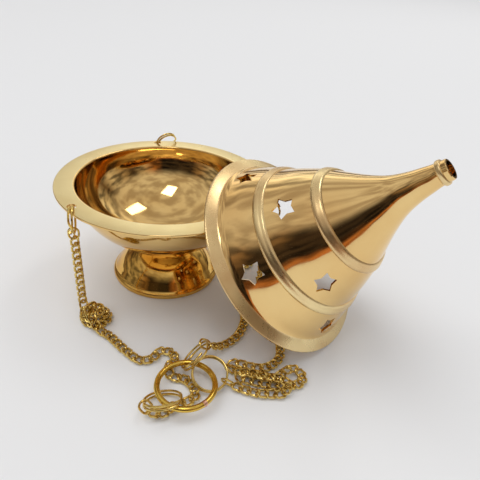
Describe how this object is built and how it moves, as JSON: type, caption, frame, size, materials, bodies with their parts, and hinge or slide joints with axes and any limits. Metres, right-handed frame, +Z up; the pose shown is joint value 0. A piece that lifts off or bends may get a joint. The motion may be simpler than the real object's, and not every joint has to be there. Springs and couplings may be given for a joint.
{
  "type": "hanging incense burner",
  "caption": "Footed brass bowl with a flat pierced rim, a star-pierced cone lid that leans on it, and three link chains joined by split rings to one carrying ring.",
  "frame": {"origin": "middle of the underside of the bounding box of every piece except the three lying chains; the foot stands on z = 0", "axes": "+Z up; +X from the bowl towards the lid, along the longest side; -Y towards the lying carrying ring, the side the picture is taken from"},
  "size_m": [0.1596, 0.1484, 0.0912],
  "materials": {
    "bowl_brass": "spun and polished, the flange satin turned",
    "foot_brass": "spun and polished, deeper amber",
    "lid_brass": "spun and polished, the lip brushed",
    "chain_brass": "drawn wire, tumbled",
    "ring_brass": "drawn wire, polished"
  },
  "bodies": {
    "body": {"bowl": "bowl_brass", "foot": "foot_brass", "end_link_left": "chain_brass", "end_link_back": "chain_brass", "end_link_right": "chain_brass", "strand_left": "chain_brass", "strand_back": "chain_brass", "strand_right": "chain_brass"},
    "lid": {"lid": "lid_brass"},
    "rim_ring_left": {"rim_ring_left": "chain_brass"},
    "chain_left": {"jump_link_left": "chain_brass", "link_left_1": "chain_brass", "link_left_2": "chain_brass", "link_left_3": "chain_brass", "link_left_4": "chain_brass", "link_left_5": "chain_brass", "link_left_6": "chain_brass", "link_left_7": "chain_brass", "link_left_8": "chain_brass", "link_left_9": "chain_brass"},
    "rim_ring_back": {"rim_ring_back": "chain_brass"},
    "chain_back": {"jump_link_back": "chain_brass", "link_back_1": "chain_brass", "link_back_2": "chain_brass", "link_back_3": "chain_brass", "link_back_4": "chain_brass", "link_back_5": "chain_brass", "link_back_6": "chain_brass", "link_back_7": "chain_brass", "link_back_8": "chain_brass", "link_back_9": "chain_brass"},
    "rim_ring_right": {"rim_ring_right": "chain_brass"},
    "chain_right": {"jump_link_right": "chain_brass", "link_right_1": "chain_brass", "link_right_2": "chain_brass", "link_right_3": "chain_brass", "link_right_4": "chain_brass", "link_right_5": "chain_brass", "link_right_6": "chain_brass", "link_right_7": "chain_brass", "link_right_8": "chain_brass", "link_right_9": "chain_brass"},
    "main_ring": {"main_ring": "ring_brass"},
    "top_ring_left": {"top_ring_left": "chain_brass"},
    "top_ring_back": {"top_ring_back": "chain_brass"},
    "top_ring_right": {"top_ring_right": "chain_brass"}
  },
  "joints": [
    {"name": "lid_lift", "type": "slide", "parent": "body", "child": "lid", "axis": [0, 0, 1], "range_m": [0, 0.07]},
    {"name": "rim_ring_left_swing", "type": "hinge", "parent": "body", "child": "rim_ring_left", "pos_m": [-0.06163, -0.0161, 0.0512], "axis": [0.2588, -0.9659, 0], "range_deg": [-10, 10]},
    {"name": "chain_left_swing", "type": "hinge", "parent": "rim_ring_left", "child": "chain_left", "pos_m": [-0.06132, -0.01726, 0.0472], "axis": [-0.9659, -0.2588, 0], "range_deg": [-10, 10]},
    {"name": "rim_ring_back_swing", "type": "hinge", "parent": "body", "child": "rim_ring_back", "pos_m": [-0.0404, 0.06748, 0.0512], "axis": [0.7848, 0.6198, 0], "range_deg": [-10, 8]},
    {"name": "chain_back_swing", "type": "hinge", "parent": "rim_ring_back", "child": "chain_back", "pos_m": [-0.03859, 0.0689, 0.0509], "axis": [0.5617, -0.7112, -0.4226], "range_deg": [-10, 10]},
    {"name": "rim_ring_right_swing", "type": "hinge", "parent": "body", "child": "rim_ring_right", "pos_m": [0.0186, 0.00846, 0.0512], "axis": [0.9703, -0.2419, 0], "range_deg": [-10, 10]},
    {"name": "chain_right_swing", "type": "hinge", "parent": "rim_ring_right", "child": "chain_right", "pos_m": [0.01898, 0.00837, 0.0467], "axis": [-0.2419, -0.9703, 0], "range_deg": [-10, 10]},
    {"name": "main_ring_turn", "type": "hinge", "parent": "body", "child": "main_ring", "pos_m": [-0.00782, -0.05866, 0.00434], "axis": [0, 0, 1], "continuous": true},
    {"name": "top_ring_left_turn", "type": "hinge", "parent": "body", "child": "top_ring_left", "pos_m": [-0.01522, -0.06676, 0.00458], "axis": [-0.1769, 0.46, 0.8701], "continuous": true},
    {"name": "top_ring_back_turn", "type": "hinge", "parent": "body", "child": "top_ring_back", "pos_m": [-0.0059, -0.04545, 0.00639], "axis": [-0.7438, 0.2337, 0.6262], "continuous": true},
    {"name": "top_ring_right_turn", "type": "hinge", "parent": "body", "child": "top_ring_right", "pos_m": [0.00062, -0.05241, 0.00447], "axis": [0.1159, -0.3691, 0.9221], "continuous": true}
  ]
}
